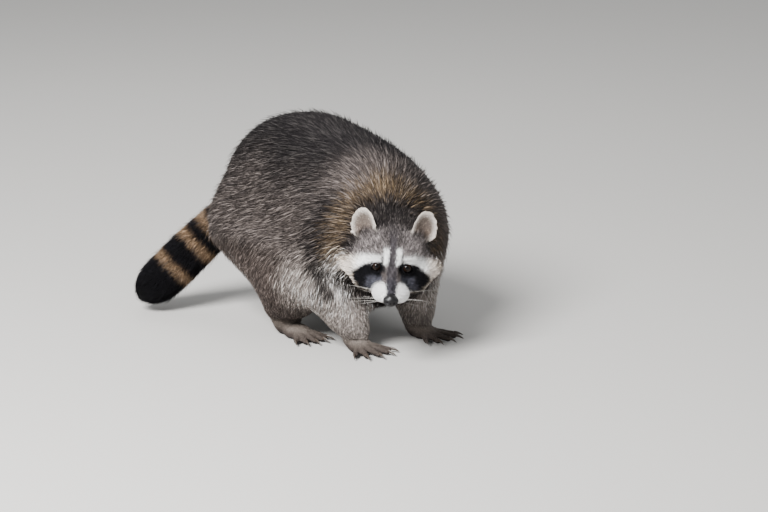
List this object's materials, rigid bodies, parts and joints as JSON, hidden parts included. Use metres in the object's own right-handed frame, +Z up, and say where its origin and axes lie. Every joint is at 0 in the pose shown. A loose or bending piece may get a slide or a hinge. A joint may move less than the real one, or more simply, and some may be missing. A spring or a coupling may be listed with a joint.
{
  "type": "raccoon",
  "caption": "Still, life-size raccoon in mid-walk with an arched back, low turned head, mask and banded tail.",
  "frame": {"origin": "on the floor, at the middle of the model's bounding box", "axes": "+Z up; the trunk faces -Y and the tail is towards +Y; the animal's right side is towards -X"},
  "size_m": [0.306, 0.5192, 0.308],
  "materials": {
    "body_coat": "dense grizzled fur, dark brown-black with pale tips",
    "face_coat": "short fur, white bars round a black mask",
    "tail_coat": "bushy fur in black and golden-brown bands",
    "ear_coat": "very short cream fur with a pale rim",
    "foot_coat": "very short dark fur, bare dark pads below",
    "eye": "clear gloss over near-black brown",
    "nose_pad": "moist pebbled black skin",
    "claw": "satin dark horn"
  },
  "bodies": {
    "root": {"ear_left": "ear_coat", "ear_right": "ear_coat", "eye_left": "eye", "eye_right": "eye", "foreclaw_left_1": "claw", "foreclaw_left_2": "claw", "foreclaw_left_3": "claw", "foreclaw_left_4": "claw", "foreclaw_left_5": "claw", "foreclaw_right_1": "claw", "foreclaw_right_2": "claw", "foreclaw_right_3": "claw", "foreclaw_right_4": "claw", "foreclaw_right_5": "claw", "forefoot_left": "foot_coat", "forefoot_right": "foot_coat", "foreleg_left": "body_coat", "foreleg_right": "body_coat", "head": "face_coat", "hindclaw_left_1": "claw", "hindclaw_left_2": "claw", "hindclaw_left_3": "claw", "hindclaw_left_4": "claw", "hindclaw_left_5": "claw", "hindclaw_right_1": "claw", "hindclaw_right_2": "claw", "hindclaw_right_3": "claw", "hindclaw_right_4": "claw", "hindclaw_right_5": "claw", "hindfoot_left": "foot_coat", "hindfoot_right": "foot_coat", "hindleg_left": "body_coat", "hindleg_right": "body_coat", "lower_jaw": "face_coat", "neck": "body_coat", "nose": "nose_pad", "tail": "tail_coat", "trunk": "body_coat"}
  },
  "joints": []
}
